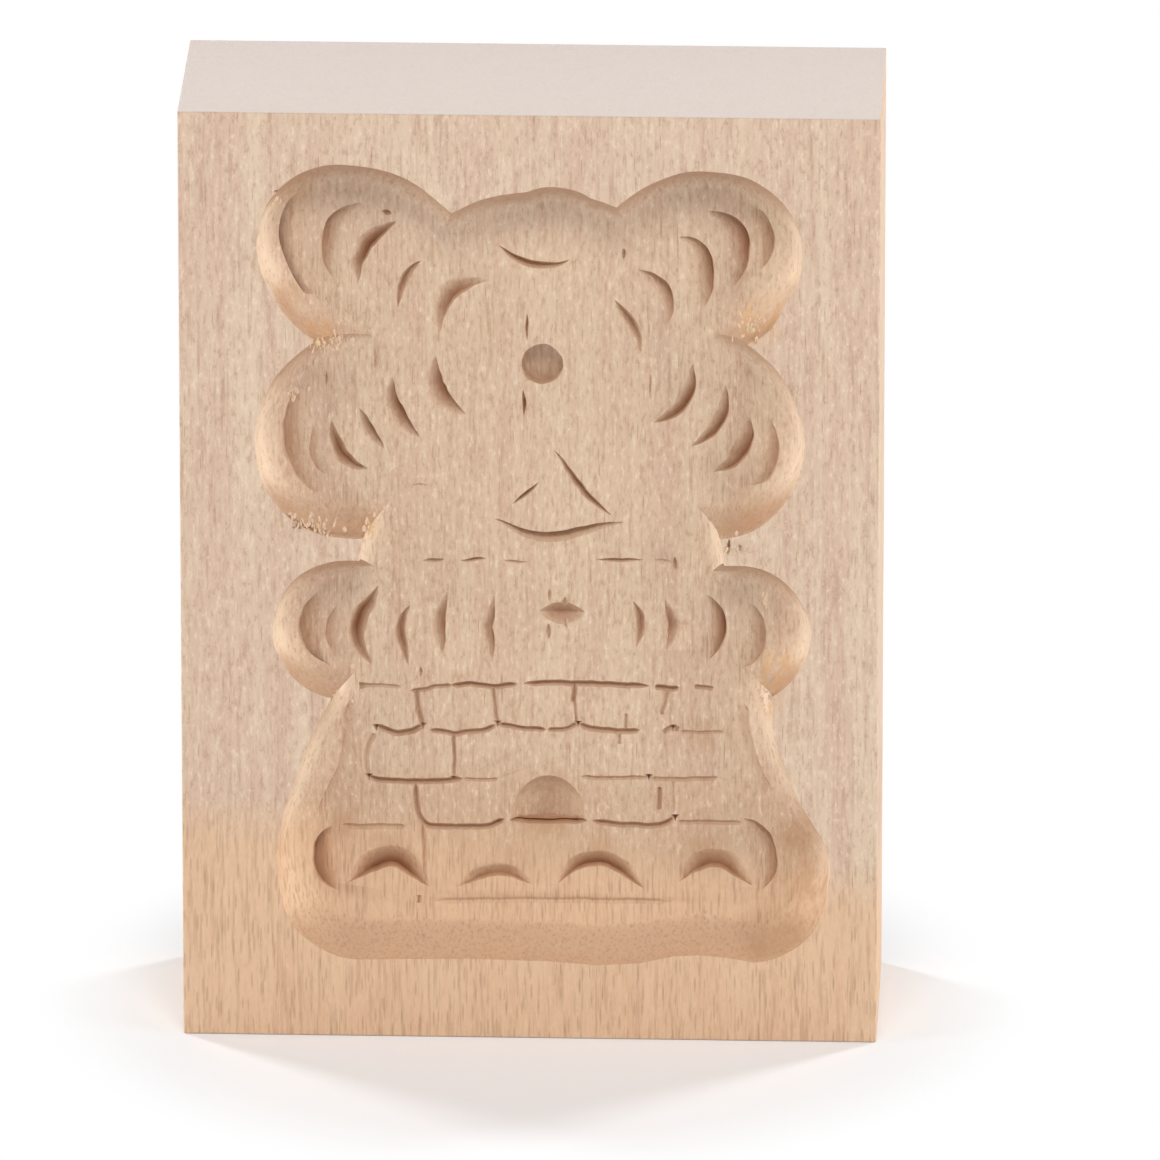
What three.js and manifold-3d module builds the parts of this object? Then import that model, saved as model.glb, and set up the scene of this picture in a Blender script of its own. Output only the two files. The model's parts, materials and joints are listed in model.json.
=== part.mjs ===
// A speculaas mould: one beech block with a windmill carved into its front face.
//
// Millimetres. +Z is up and follows the grain, and +X is to the right as the carving is seen.
// The carved face looks along -Y. The origin is the middle of the foot of the block.

import * as THREE from 'three';
import { mergeVertices, toCreasedNormals } from 'three/addons/utils/BufferGeometryUtils.js';
import Module from 'manifold-3d';

const wasm = await Module();
wasm.setup();

// The block
const blockWidth = 90;
const blockHeight = 126;
const blockThickness = 30;

// The pocket that the dough is pressed into
const pocketDepth = 4.6;
const rimStep = 0.4; // the wall stands straight for this much below the face
const coveWidth = 4; // how far the rounded wall runs in before it meets the floor
const coveSteps = 4;
const roundSteps = 22; // points on half of a round outline
const leastEdge = 0.01; // points nearer than this are one point
const cutterOverrun = 2; // how far a cutter stands out of the wood

// The windmill stands in the block with its foot this far below the middle of the space
const figureHeight = 108.2;
const figureRaise = 2;
const figureFoot = (blockHeight - figureHeight) / 2 + figureRaise;

// Sizes from here on are across the block from its middle line, and up from the figure's foot.

// The four sails are ovals that lean out from the hub, and a round dish joins them
const hubX = 1.5;
const hubHeight = 80;
const dishRadius = 25.2;
const sails = {
  upper: { offset: 20.7, height: 94.6, length: 30, width: 24.7, lean: 35 },
  lower: { offset: 21.7, height: 72, length: 29.6, width: 26, lean: -59 },
};

// The neck of the tower, between the lower sails and the gallery
const neckWidth = 49.5;
const neckX = 1.6;
const neckTopWidth = 43;
const neckFoot = 48;
const neckTop = 66;

// The gallery that runs round the tower, with a half round at each end
const galleryX = 1.6;
const galleryWidth = 69.2;
const galleryHeight = 18.6;
const galleryMiddle = 45;

// The tower flares from under the gallery to its foot, and its walls slope more gently
const towerTop = 46;
const towerSides = {
  left: { top: -24.8, foot: -33.4 },
  right: { top: 32.6, foot: 39.7 },
};
const towerStraight = 36; // the sides are straight above this height
const towerSweepTop = 27; // and sweep out between these two
const towerSweepFoot = 22.5;
const towerFoot = 3.5;
const towerCorner = 11;
const towerCoveWidth = 6.8;

// The ground that the tower stands on
const groundLeft = -32.6;
const groundRight = 38.6;
const groundHeight = 16;
const groundCorner = 10.4;

// A knife cut is a V that swells from nothing and runs out again
const cutSteps = 9;
const cutRaise = 0.3; // a cutter starts this far above the floor that it cuts
const cutLean = 0.45; // the V's bottom lies this share of its half width to the steep side
const lineWidth = 0.9;
const lineDepth = 0.6;

// A gouge cut follows the foot of the wall round each sail's tip, each end of the gallery and
// each side of the tower's foot. Its middle stands at x and height, and it bows towards the turn.
const ringWidth = 2.6;
const ringDepth = 0.8;
const rings = [
  { x: -31, height: 94.3, chord: 15.5, bow: 3, turn: 190 },
  { x: 29.6, height: 97.1, chord: 11.4, bow: 2.4, turn: 8 },
  { x: -30.1, height: 69.1, chord: 16.4, bow: 2.8, turn: 189 },
  { x: 30.7, height: 69.6, chord: 13.5, bow: 2, turn: -11 },
  { x: -28.3, height: 44.5, chord: 13.8, bow: 2.4, turn: 180 },
  { x: 28.3, height: 43.9, chord: 13.4, bow: 2.6, turn: 0 },
  { x: -26.1, height: 11.5, chord: 9.6, bow: 2, turn: 180 },
  { x: 30, height: 11.5, chord: 9.8, bow: 2.4, turn: 0 },
];

// Slats across each sail: curved cuts in a row from the tip to the hub, bowed away from the hub
const slatChord = 7.8;
const slatBow = 1.7;
const slatWidth = 1.9;
const slatDepth = 1.2;
const slatTurn = 35;
const slatRows = [
  { side: -1, up: 1, tip: [26.3, 19.4], last: [12.3, 9.4], count: 4 },
  { side: 1, up: 1, tip: [25.6, 18.8], last: [11.6, 5.6], count: 4 },
  { side: -1, up: -1, tip: [26.1, 12.1], last: [13.4, 4.1], count: 4 },
  { side: 1, up: -1, tip: [25.4, 10.9], last: [17.9, 4.9], count: 3 },
];

// The cap above the hub, and the hub's bore
const capChord = 8.8;
const capRise = 14.2;
const capBow = 2;
const capCutWidth = 1.4;
const capCutDepth = 0.9;
const hubBore = 5.3;
const hubBoreDepth = 2.4;

// The roof of the tower below the hub
const roofPeak = [1.2, -11.2];
const roofLeft = [-6.4, -20.8];
const roofRight = [12, -21.3];
const roofSag = 1.45;
const roofCutWidth = 1.1;
const roofCutDepth = 0.8;
const eavesSag = 2.6;
const eavesCutWidth = 1.9;
const eavesCutDepth = 1.1;

// Upright cuts on the gallery, bowed outwards on both sides of a square stud
const railChord = 8.6;
const railBow = 1.6;
const railLeft = { first: -22.4, last: -5.6, count: 4 };
const railRight = { first: 14.2, last: 24.3, count: 3 };
const railHeight = 44.4;
const studX = 4;
const studMiddle = 46;
const studWidth = 5;
const studHeight = 3.2;
const studDepth = 1.5;

// Brickwork: courses of bricks between level lines, with the joints of each course set over
const courseHeight = 6.4;
const courseTop = 36.4;
const courseCount = 3;
const courseLeft = -14.4;
const courseRight = 23.6;
const courseSpread = 2.6; // each line is this much longer at its two ends than the one above
const brickLength = 10.3;
const brickStart = -14.8;
const levelRunOut = 0.15; // a level line and a joint run out over this share at each end
const galleryLineHeight = 53.4;
const galleryLineLeft = -13.9;
const galleryLineRight = 18.8;

// The door in the lowest course
const doorX = 1.9;
const doorWidth = 9.6;
const doorHeight = 6.6;
const doorDepth = 1.7;
const doorReach = 7; // no joint stands nearer than this to the middle of the door

// Bushes at the foot of the tower, and the line of the ground below them
const bushCount = 4;
const bushFirst = -18.8;
const bushPitch = 14;
const bushHeight = 11.2;
const bushChord = 10;
const bushBow = 3.2;
const bushWidth = 2.4;
const bushDepth = 1.1;
const groundLineHeight = 6.7;
const groundLineLeft = -14.6;
const groundLineRight = 20;

const frontY = -blockThickness / 2;
const floorY = frontY + pocketDepth;
const degrees = Math.PI / 180;
const creaseAngle = 35; // edges sharper than this show as arrises

const beech = new THREE.MeshStandardMaterial({
  name: 'steamed beech',
  color: 0xddc1a7,
  roughness: 0.72,
  metalness: 0,
});

// Makes a closed solid of a mesh, so that it can be joined and cut.
function solidOf(geometry) {
  const bare = geometry.clone();
  bare.deleteAttribute('normal');
  bare.deleteAttribute('uv');
  const merged = mergeVertices(bare, 1e-4);
  return new wasm.Manifold(
    new wasm.Mesh({
      numProp: 3,
      vertProperties: new Float32Array(merged.attributes.position.array),
      triVerts: new Uint32Array(merged.index.array),
    }),
  );
}

function geometryOf(solid) {
  const mesh = solid.getMesh();
  const geometry = new THREE.BufferGeometry();
  geometry.setAttribute('position', new THREE.BufferAttribute(new Float32Array(mesh.vertProperties), 3));
  geometry.setIndex(new THREE.BufferAttribute(new Uint32Array(mesh.triVerts), 1));
  return toCreasedNormals(geometry, creaseAngle * degrees);
}

function join(solids) {
  return solids.reduce((whole, solid) => whole.add(solid));
}

// Turns a mesh drawn on the figure's face, with its third axis out of the wood, to stand in the block.
function standUp(geometry, outY) {
  const position = geometry.attributes.position;
  for (let i = 0; i < position.count; i++) {
    const across = position.getX(i);
    const up = position.getY(i);
    const out = position.getZ(i);
    position.setXYZ(i, across, outY - out, up + figureFoot);
  }
  return geometry;
}

// Gives an outline as plain points, without those that fall together where its curves meet.
function pointsOf(outline, steps) {
  const apart = (point, i, all) => point.distanceTo(all[(i + 1) % all.length]) > leastEdge;
  return new THREE.Shape(outline.extractPoints(steps).shape.filter(apart));
}

// A cutter that sinks an outline to the pocket's floor, with a rounded wall all round.
function coveCutter(outline, width = coveWidth) {
  const geometry = new THREE.ExtrudeGeometry(pointsOf(outline, roundSteps), {
    depth: cutterOverrun + rimStep,
    bevelThickness: pocketDepth - rimStep,
    bevelSize: width,
    bevelOffset: -width,
    bevelSegments: coveSteps,
  });
  return solidOf(standUp(geometry, frontY + rimStep));
}

// A straight-sided cutter from above the pocket's floor down to a depth below it.
function floorCutter(outline, depth) {
  const geometry = new THREE.ExtrudeGeometry(pointsOf(outline, roundSteps / 2), {
    depth: depth + cutRaise,
    bevelEnabled: false,
  });
  return solidOf(standUp(geometry, floorY + depth));
}

function ovalOutline(x, z, length, width, turn = 0) {
  return new THREE.Shape().absellipse(x, z, length / 2, width / 2, 0, 2 * Math.PI, false, turn * degrees);
}

function neckOutline() {
  const outline = new THREE.Shape();
  outline.moveTo(neckX - neckWidth / 2, neckFoot);
  outline.lineTo(neckX + neckWidth / 2, neckFoot);
  outline.lineTo(neckX + neckTopWidth / 2, neckTop);
  outline.lineTo(neckX - neckTopWidth / 2, neckTop);
  outline.closePath();
  return outline;
}

function galleryOutline() {
  const end = galleryHeight / 2;
  const reach = galleryWidth / 2 - end;
  const outline = new THREE.Shape();
  outline.moveTo(galleryX - reach, galleryMiddle - end);
  outline.lineTo(galleryX + reach, galleryMiddle - end);
  outline.absarc(galleryX + reach, galleryMiddle, end, -Math.PI / 2, Math.PI / 2);
  outline.lineTo(galleryX - reach, galleryMiddle + end);
  outline.absarc(galleryX - reach, galleryMiddle, end, Math.PI / 2, 1.5 * Math.PI);
  return outline;
}

// The tower's sides hang straight under the gallery and sweep out to the foot like a bell.
function towerOutline() {
  const cornerHeight = towerFoot + towerCorner;
  const { left, right } = towerSides;
  const outline = new THREE.Shape();
  outline.moveTo(left.top, towerTop);
  outline.lineTo(left.top, towerStraight);
  outline.bezierCurveTo(left.top, towerSweepTop, left.foot, towerSweepFoot, left.foot, cornerHeight);
  outline.absarc(left.foot + towerCorner, cornerHeight, towerCorner, Math.PI, 1.5 * Math.PI);
  outline.absarc(right.foot - towerCorner, cornerHeight, towerCorner, -Math.PI / 2, 0);
  outline.bezierCurveTo(right.foot, towerSweepFoot, right.top, towerSweepTop, right.top, towerStraight);
  outline.lineTo(right.top, towerTop);
  return outline;
}

function groundOutline() {
  const outline = new THREE.Shape();
  const c = groundCorner;
  outline.moveTo(groundLeft + c, 0);
  outline.lineTo(groundRight - c, 0);
  outline.absarc(groundRight - c, c, c, -Math.PI / 2, 0);
  outline.lineTo(groundRight, groundHeight);
  outline.lineTo(groundLeft, groundHeight);
  outline.absarc(groundLeft + c, c, c, Math.PI, 1.5 * Math.PI);
  return outline;
}

function pocket() {
  const cutters = [
    coveCutter(ovalOutline(hubX, hubHeight, 2 * dishRadius, 2 * dishRadius)),
    coveCutter(neckOutline()),
    coveCutter(galleryOutline()),
    coveCutter(towerOutline(), towerCoveWidth),
    coveCutter(groundOutline()),
  ];
  for (const sail of Object.values(sails)) {
    for (const side of [-1, 1]) {
      const turn = side * sail.lean;
      cutters.push(coveCutter(ovalOutline(side * sail.offset, sail.height, sail.length, sail.width, turn)));
    }
  }
  return join(cutters);
}

// A knife cut along a curve on the pocket's floor. steep is the side of the V that stands steeper,
// 1 for the left of the curve's way and -1 for its right, and runOut is the share of each end
// over which the cut comes up to nothing.
function cutAlong(curve, { width = lineWidth, depth = lineDepth, steep = 0, runOut = 0.5 } = {}) {
  const grow = (depth + cutRaise) / depth;
  const points = [];
  const place = (s) => {
    const middle = curve.getPointAt(s);
    const along = curve.getTangentAt(s);
    return { middle, side: new THREE.Vector2(-along.y, along.x) };
  };
  const start = curve.getPointAt(0);
  points.push(start.x, start.y, cutRaise);
  for (let i = 1; i < cutSteps; i++) {
    const s = i / cutSteps;
    const { middle, side } = place(s);
    const swell = Math.sin((Math.PI / 2) * Math.min(1, s / runOut, (1 - s) / runOut));
    const half = (width / 2) * grow * swell;
    const drop = (depth + cutRaise) * swell;
    const bottom = steep * cutLean * half;
    points.push(middle.x + side.x * half, middle.y + side.y * half, cutRaise);
    points.push(middle.x - side.x * half, middle.y - side.y * half, cutRaise);
    points.push(middle.x + side.x * bottom, middle.y + side.y * bottom, cutRaise - drop);
  }
  const end = curve.getPointAt(1);
  points.push(end.x, end.y, cutRaise);

  const faces = [0, 2, 1, 0, 3, 2, 0, 1, 3];
  for (let i = 0; i < cutSteps - 2; i++) {
    for (let k = 0; k < 3; k++) {
      const a = 1 + 3 * i + k;
      const b = 1 + 3 * i + ((k + 1) % 3);
      faces.push(a, b, b + 3, a, b + 3, a + 3);
    }
  }
  const last = 1 + 3 * (cutSteps - 1);
  faces.push(last, last - 3, last - 2, last, last - 2, last - 1, last, last - 1, last - 3);

  const geometry = new THREE.BufferGeometry();
  geometry.setAttribute('position', new THREE.Float32BufferAttribute(points, 3));
  geometry.setIndex(faces);
  return solidOf(standUp(geometry, floorY));
}

// A curve from one point to another that bows to the left of its way by the given height.
function bowed(x0, z0, x1, z1, bow) {
  const run = new THREE.Vector2(x1 - x0, z1 - z0);
  const length = run.length();
  const control = new THREE.Vector2(
    (x0 + x1) / 2 - (run.y / length) * 2 * bow,
    (z0 + z1) / 2 + (run.x / length) * 2 * bow,
  );
  return new THREE.QuadraticBezierCurve(new THREE.Vector2(x0, z0), control, new THREE.Vector2(x1, z1));
}

// A curve of a given chord whose middle lies at a point and bows towards an angle.
function bowedAt(x, z, chord, bow, angle) {
  const out = new THREE.Vector2(Math.cos(angle * degrees), Math.sin(angle * degrees));
  const baseX = x - out.x * bow;
  const baseZ = z - out.y * bow;
  const half = chord / 2;
  return bowed(baseX - out.y * half, baseZ + out.x * half, baseX + out.y * half, baseZ - out.x * half, bow);
}

// Values spread evenly from the first to the last.
function spread(first, last, count) {
  return Array.from({ length: count }, (_, i) => first + ((last - first) * i) / (count - 1));
}

function ringCuts() {
  return rings.map(({ x, height, chord, bow, turn }) => {
    const curve = bowedAt(x, height, chord, bow, turn);
    return cutAlong(curve, { width: ringWidth, depth: ringDepth, steep: x < 0 ? -1 : 1 });
  });
}

function slatCuts() {
  const cuts = [];
  for (const { side, up, tip, last, count } of slatRows) {
    const outs = spread(tip[0], last[0], count);
    const ups = spread(tip[1], last[1], count);
    const angle = side > 0 ? up * slatTurn : 180 - up * slatTurn;
    outs.forEach((out, i) => {
      const curve = bowedAt(hubX + side * out, hubHeight + up * ups[i], slatChord, slatBow, angle);
      cuts.push(cutAlong(curve, { width: slatWidth, depth: slatDepth, steep: 1 }));
    });
  }
  return cuts;
}

function railCuts() {
  const cuts = [];
  for (const x of spread(railLeft.first, railLeft.last, railLeft.count)) {
    const curve = bowedAt(x, railHeight, railChord, railBow, 180);
    cuts.push(cutAlong(curve, { width: slatWidth, depth: slatDepth, steep: -1 }));
  }
  for (const x of spread(railRight.first, railRight.last, railRight.count)) {
    const curve = bowedAt(x, railHeight, railChord, railBow, 0);
    cuts.push(cutAlong(curve, { width: slatWidth, depth: slatDepth, steep: 1 }));
  }
  return cuts;
}

// A pit with four sloping sides that meet in a point.
function stud() {
  const grow = (studDepth + cutRaise) / studDepth;
  const pit = new THREE.ConeGeometry(1, studDepth + cutRaise, 4);
  pit.rotateX(-Math.PI / 2);
  pit.scale((studWidth / 2) * grow, (studHeight / 2) * grow, 1);
  pit.translate(studX, studMiddle, (cutRaise - studDepth) / 2);
  return solidOf(standUp(pit, floorY));
}

function capCut() {
  const height = hubHeight + capRise;
  const curve = bowed(hubX + capChord / 2, height, hubX - capChord / 2, height, capBow);
  return cutAlong(curve, { width: capCutWidth, depth: capCutDepth });
}

function roofCuts() {
  const at = ([x, z]) => [hubX + x, hubHeight + z];
  const [peakX, peakZ] = at(roofPeak);
  const [leftX, leftZ] = at(roofLeft);
  const [rightX, rightZ] = at(roofRight);
  const rightSide = bowed(peakX, peakZ, rightX, rightZ, -roofSag);
  const leftSide = bowed(peakX, peakZ, (peakX + leftX) / 2, (peakZ + leftZ) / 2, roofSag / 2);
  const eaves = bowed(rightX, rightZ, leftX, leftZ, eavesSag);
  return [
    cutAlong(rightSide, { width: roofCutWidth, depth: roofCutDepth }),
    cutAlong(leftSide),
    cutAlong(eaves, { width: eavesCutWidth, depth: eavesCutDepth }),
  ];
}

function levelLine(left, right, height) {
  return cutAlong(bowed(left, height, right, height, 0), { runOut: levelRunOut });
}

function brickCuts() {
  const cuts = [levelLine(galleryLineLeft, galleryLineRight, galleryLineHeight)];
  for (let line = 0; line <= courseCount; line++) {
    const height = courseTop - line * courseHeight;
    const left = courseLeft - line * courseSpread;
    const right = courseRight + line * courseSpread / 2;
    cuts.push(levelLine(left, right, height));
    if (line === courseCount) continue;
    const lowest = line === courseCount - 1;
    const shift = line % 2 ? brickLength / 2 : 0;
    for (let x = brickStart + shift; x < right - lineWidth; x += brickLength) {
      const byDoor = lowest && Math.abs(x - doorX) < doorReach;
      if (byDoor) continue;
      cuts.push(cutAlong(bowed(x, height, x, height - courseHeight, 0), { runOut: levelRunOut }));
    }
  }
  return cuts;
}

function door() {
  const foot = courseTop - courseCount * courseHeight;
  const outline = new THREE.Shape();
  outline.moveTo(doorX + doorWidth / 2, foot);
  outline.absellipse(doorX, foot, doorWidth / 2, doorHeight, 0, Math.PI);
  outline.closePath();
  return floorCutter(outline, doorDepth);
}

function bushCuts() {
  const cuts = [levelLine(groundLineLeft, groundLineRight, groundLineHeight)];
  for (let i = 0; i < bushCount; i++) {
    const x = bushFirst + i * bushPitch;
    const curve = bowed(x - bushChord / 2, bushHeight, x + bushChord / 2, bushHeight, bushBow);
    cuts.push(cutAlong(curve, { width: bushWidth, depth: bushDepth, steep: -1 }));
  }
  return cuts;
}

function hub() {
  return floorCutter(ovalOutline(hubX, hubHeight, hubBore, hubBore), hubBoreDepth);
}

function mouldBlock() {
  const plank = new THREE.BoxGeometry(blockWidth, blockThickness, blockHeight);
  plank.translate(0, 0, blockHeight / 2);
  const carving = join([
    ...ringCuts(),
    ...slatCuts(),
    ...railCuts(),
    ...roofCuts(),
    ...brickCuts(),
    ...bushCuts(),
    capCut(),
    stud(),
    door(),
    hub(),
  ]);
  const carved = solidOf(plank).subtract(pocket()).subtract(carving);
  const mesh = new THREE.Mesh(geometryOf(carved), beech);
  mesh.name = 'mould_block';
  return mesh;
}

const cookieMould = new THREE.Group();
cookieMould.add(mouldBlock());

export default cookieMould;
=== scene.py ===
# A beech mould for speculaas biscuits, carved with a windmill, and the white floor it stands on.
#
# Metres. +Z is up and follows the grain. The carved face looks along -Y, and the origin is the
# middle of the foot of the block. The carving is measured in millimetres, across the block from
# its middle line and up from its foot.

import json
import math
import random

import bpy
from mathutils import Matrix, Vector, geometry, noise

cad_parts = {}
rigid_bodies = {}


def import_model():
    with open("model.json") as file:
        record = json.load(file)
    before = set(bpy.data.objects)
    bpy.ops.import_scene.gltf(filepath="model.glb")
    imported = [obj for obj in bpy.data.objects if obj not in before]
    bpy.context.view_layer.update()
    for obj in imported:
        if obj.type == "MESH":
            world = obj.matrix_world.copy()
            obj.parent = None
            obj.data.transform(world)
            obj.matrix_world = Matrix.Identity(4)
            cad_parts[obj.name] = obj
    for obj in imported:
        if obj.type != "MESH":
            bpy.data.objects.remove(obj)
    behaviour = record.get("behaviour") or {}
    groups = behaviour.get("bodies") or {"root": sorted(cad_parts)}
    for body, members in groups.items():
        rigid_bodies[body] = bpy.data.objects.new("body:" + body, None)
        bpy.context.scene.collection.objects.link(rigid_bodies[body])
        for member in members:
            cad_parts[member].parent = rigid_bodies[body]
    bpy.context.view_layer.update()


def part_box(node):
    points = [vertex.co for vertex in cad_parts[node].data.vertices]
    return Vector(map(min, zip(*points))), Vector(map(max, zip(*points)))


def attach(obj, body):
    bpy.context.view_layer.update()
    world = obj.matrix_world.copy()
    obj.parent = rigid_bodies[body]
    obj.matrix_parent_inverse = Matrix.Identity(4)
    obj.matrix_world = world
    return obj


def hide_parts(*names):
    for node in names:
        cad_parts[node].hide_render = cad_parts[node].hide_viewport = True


bl_info = {
    "name": "Speculaas mould",
    "version": (1, 0, 0),
    "blender": (4, 5, 0),
    "location": "3D View > Sidebar > Mould",
    "description": "Models a carved beech biscuit mould and the stage it is photographed on",
    "category": "Add Mesh",
}

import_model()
BLOCK_LOW, BLOCK_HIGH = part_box("mould_block")

MM = 0.001
HAIR = 1e-6  # lengths under this are nothing
OVERRUN = 1.2 * MM  # how far a cutter stands out of the wood
CUT_RAISE = 0.3 * MM  # a knife cut's cutter starts this far above the floor
SMOOTH_ANGLE = math.radians(38)

# The pocket is one hollow made of these outlines, each with a rounded wall all round.
OVAL_POINTS = 96
GALLERY_END_STEPS = 28
SWEEP_STEPS = 22
CORNER_STEPS = 18
GROUND_END_STEPS = 24
COVE_STEPS = 9
WALL_ROUNDNESS = 0.5
WALL_WAVE = 0.32 * MM  # how far the hand-guided cutter strays
WALL_WAVE_LENGTH = 6 * MM
SECOND_WAVE = Vector((7.3, 1.9, 4.1))  # where the up and down waver is taken from the same noise

HUB = (1.5, 90.9)
DISH = 49.2  # across the round dish about the hub
# Ovals: across, up, length, width and turn.
CAP = (3.2, 111.4, 12.4, 9.6)
CAP_COVE = 0.85  # its wall runs in less, since the cap is narrow
SAIL_OVALS = {
    "upper left": (-20.5, 105.5, 30.6, 24.6, -36),
    "upper right": (20.9, 105.5, 29.0, 24.8, 34),
    "lower left": (-21.7, 82.8, 29.6, 26.0, 59),
    "lower right": (21.7, 83.4, 29.6, 26.0, -59),
}
NECK = [(-23.2, 58), (26.4, 58), (23.0, 77), (-19.9, 77)]
GALLERY = (-33.0, 36.1, 46.6, 65.2)  # left, right, foot and top
TOWER_TOP = 57  # inside the gallery
# Each side of the tower is a curve: its start, two handles and its end.
TOWER_LEFT = [(-25.2, 47), (-27.4, 42), (-32.0, 33), (-32.6, 25.4)]
TOWER_RIGHT = [(31.2, 47), (31.2, 34), (38.8, 29.6), (38.8, 24.2)]
CORNER_RADIUS = 10.8
GROUND = (-32.4, 38.5, 10.9)  # left, right and foot
GROUND_ROUNDNESS = 0.34
GROUND_END = 10.4  # the radius of its two ends
GROUND_RIGHT_END = 276  # the right one starts a little past its lowest point, in degrees
# Where the tool slipped along the foot of the pocket: across, and how far up.
GROUND_SLIPS = [(-8, 0.1), (2, 0.0), (8.6, -0.5), (14.4, 0.0), (18.6, 0.8), (22.2, 1.1), (26, 0.6)]


def on_arc(x, z, radius, first, last, count):
    """Points along an arc, with its two ends, by angles in degrees."""
    points = []
    for i in range(count + 1):
        angle = math.radians(first + (last - first) * i / count)
        points.append((x + radius * math.cos(angle), z + radius * math.sin(angle)))
    return points


def oval(x, z, length, width, turn=0):
    """The outline of an oval that is turned by an angle in degrees."""
    lean = math.radians(turn)
    points = []
    for i in range(OVAL_POINTS):
        angle = 2 * math.pi * i / OVAL_POINTS
        along = length / 2 * math.cos(angle)
        across = width / 2 * math.sin(angle)
        points.append(
            (
                x + along * math.cos(lean) - across * math.sin(lean),
                z + along * math.sin(lean) + across * math.cos(lean),
            )
        )
    return points


def gallery_outline():
    left, right, foot, top = GALLERY
    end = (top - foot) / 2
    middle = foot + end
    points = on_arc(right - end, middle, end, -90, 90, GALLERY_END_STEPS)
    return points + on_arc(left + end, middle, end, 90, 270, GALLERY_END_STEPS)


def sweep(start, first_handle, second_handle, end):
    """Points on a curve between two points with handles, without its last point."""
    ends = [Vector(p).to_3d() for p in (start, first_handle, second_handle, end)]
    return [(p.x, p.y) for p in geometry.interpolate_bezier(*ends, SWEEP_STEPS)][:-1]


def tower_outline():
    """The tower flares from under the gallery to its foot like a bell."""
    foot_left, corner_left = TOWER_LEFT[-1]
    foot_right, corner_right = TOWER_RIGHT[-1]
    radius = CORNER_RADIUS
    points = [(TOWER_RIGHT[0][0], TOWER_TOP), (TOWER_LEFT[0][0], TOWER_TOP)]
    points += sweep(*TOWER_LEFT)
    points += on_arc(foot_left + radius, corner_left, radius, 180, 270, CORNER_STEPS)
    points += on_arc(foot_right - radius, corner_right, radius, 270, 360, CORNER_STEPS)
    return points + sweep(*TOWER_RIGHT)[::-1]


def ground_outline():
    left, right, foot = GROUND
    radius = GROUND_END
    middle = foot + radius
    points = on_arc(left + radius, middle, radius, 90, 270, GROUND_END_STEPS)
    points += [(x, foot + rise) for x, rise in GROUND_SLIPS]
    right_end = on_arc(right - radius, middle, radius, GROUND_RIGHT_END, 450, GROUND_END_STEPS)
    return points + right_end


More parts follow.
